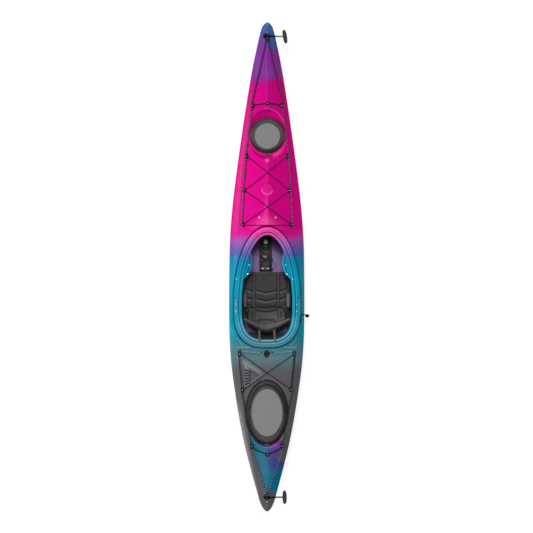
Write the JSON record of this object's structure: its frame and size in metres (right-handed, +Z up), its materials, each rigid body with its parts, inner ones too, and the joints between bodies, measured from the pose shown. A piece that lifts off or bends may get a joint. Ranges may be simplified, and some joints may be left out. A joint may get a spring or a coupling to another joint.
{
  "type": "sea kayak",
  "caption": "Decked touring kayak with a moulded hull, keyhole cockpit, padded seat, round and oval hatches, deck lines, carry toggles and a drop skeg.",
  "frame": {"origin": "on the floor, under the middle of the hull's length and beam", "axes": "+X to starboard, +Y to the bow, +Z up"},
  "size_m": [0.6303, 3.8054, 0.3757],
  "materials": {
    "hull_plastic": "moulded polyethylene, fading from violet at the bow through magenta and teal to grey aft",
    "black_plastic": "moulded, fine grain",
    "grey_plastic": "moulded, fine grain",
    "black_rubber": "smooth dark rubber",
    "cord": "braided cord, the deck lines with light flecks",
    "webbing": "flat woven strap",
    "seat_fabric": "padded woven cloth",
    "seat_plastic": "moulded",
    "foam": "closed-cell foam",
    "steel": "brushed"
  },
  "bodies": {
    "hull": {"hull_shell": "hull_plastic", "seat_cushion": "seat_fabric", "bow_deck_line": "cord", "front_bungee": "cord", "seat_pan": "seat_plastic", "stern_deck_line": "cord", "front_hatch_rim": "black_plastic", "rear_hatch_rim": "black_plastic", "seat_track": "black_plastic", "skeg_cleat": "black_plastic", "bow_eye": "black_plastic", "rear_bulkhead": "foam", "stern_eye": "black_plastic", "front_bulkhead": "foam", "rear_bungee": "cord", "skeg_box": "black_plastic", "bow_fitting_d_port": "black_plastic", "bow_fitting_c_port": "black_plastic", "bow_fitting_d_starboard": "black_plastic", "bow_fitting_c_starboard": "black_plastic", "stern_fitting_b_port": "black_plastic", "stern_fitting_b_starboard": "black_plastic", "security_bar": "black_plastic", "stern_fitting_a_port": "black_plastic", "bow_fitting_b_port": "black_plastic", "bow_fitting_b_starboard": "black_plastic", "stern_fitting_a_starboard": "black_plastic", "bow_fitting_a_port": "black_plastic", "stern_fitting_c_port": "black_plastic", "bow_fitting_a_starboard": "black_plastic", "stern_fitting_c_starboard": "black_plastic", "thigh_brace_port": "hull_plastic", "thigh_brace_starboard": "hull_plastic", "hip_pad_port": "seat_fabric", "hip_pad_starboard": "seat_fabric", "skeg_tube": "black_plastic", "stern_fitting_centre": "black_plastic", "bow_fitting_centre": "black_plastic", "foot_rail_port": "black_plastic", "foot_rail_starboard": "black_plastic", "backrest_strap_port": "webbing", "backrest_strap_starboard": "webbing", "bow_cross_cord": "cord", "stern_cross_cord": "cord"},
    "front_hatch_lid": {"front_hatch_cover": "black_rubber", "front_hatch_panel": "grey_plastic"},
    "rear_hatch_lid": {"rear_hatch_cover": "black_rubber", "rear_hatch_panel": "grey_plastic"},
    "bow_handle": {"bow_toggle": "black_rubber", "bow_toggle_cord": "cord"},
    "stern_handle": {"stern_toggle": "black_rubber", "stern_toggle_cord": "cord"},
    "skeg": {"skeg_blade": "black_plastic"},
    "skeg_pull": {"skeg_knob": "black_plastic", "skeg_cord": "cord"},
    "backrest": {"backrest_frame": "seat_plastic", "backrest_pad": "seat_fabric"},
    "ratchet": {"ratchet_lever": "steel"},
    "port_pedal": {"foot_pedal_port": "black_plastic"},
    "starboard_pedal": {"foot_pedal_starboard": "black_plastic"}
  },
  "joints": [
    {"name": "front_hatch_lift", "type": "slide", "parent": "hull", "child": "front_hatch_lid", "axis": [0, 0, 1], "range_m": [0, 0.15]},
    {"name": "rear_hatch_lift", "type": "slide", "parent": "hull", "child": "rear_hatch_lid", "axis": [0, 0, 1], "range_m": [0, 0.15]},
    {"name": "bow_handle_swing", "type": "hinge", "parent": "hull", "child": "bow_handle", "pos_m": [0, 1.79489, 0.36053], "axis": [0, -1, 0], "range_deg": [0, 100]},
    {"name": "stern_handle_swing", "type": "hinge", "parent": "hull", "child": "stern_handle", "pos_m": [0, -1.79489, 0.30366], "axis": [0, -1, 0], "range_deg": [0, 100]},
    {"name": "skeg_drop", "type": "hinge", "parent": "hull", "child": "skeg", "pos_m": [0, -1.35636, 0.06], "axis": [1, 0, 0], "range_deg": [0, 60]},
    {"name": "skeg_cord_run", "type": "slide", "parent": "hull", "child": "skeg_pull", "axis": [0, 0, 1], "range_m": [0, 0.046], "deforming": ["skeg_cord"]},
    {"name": "backrest_fold", "type": "hinge", "parent": "hull", "child": "backrest", "pos_m": [0, -0.342, 0.086], "axis": [-1, 0, 0], "range_deg": [0, 28], "deforming": ["backrest_strap_port", "backrest_strap_starboard"]},
    {"name": "ratchet_lift", "type": "hinge", "parent": "hull", "child": "ratchet", "pos_m": [0, 0.0922, 0.0273], "axis": [-1, 0, 0], "range_deg": [0, 60]},
    {"name": "port_pedal_slide", "type": "slide", "parent": "hull", "child": "port_pedal", "axis": [0.1058, 0.9944, 0], "range_m": [-0.13, 0.13]},
    {"name": "starboard_pedal_slide", "type": "slide", "parent": "hull", "child": "starboard_pedal", "axis": [-0.1058, 0.9944, 0], "range_m": [-0.13, 0.13]}
  ],
  "couplings": [
    {"joint": "skeg_cord_run", "follows": "skeg_drop", "m_per_rad": 0.043}
  ]
}
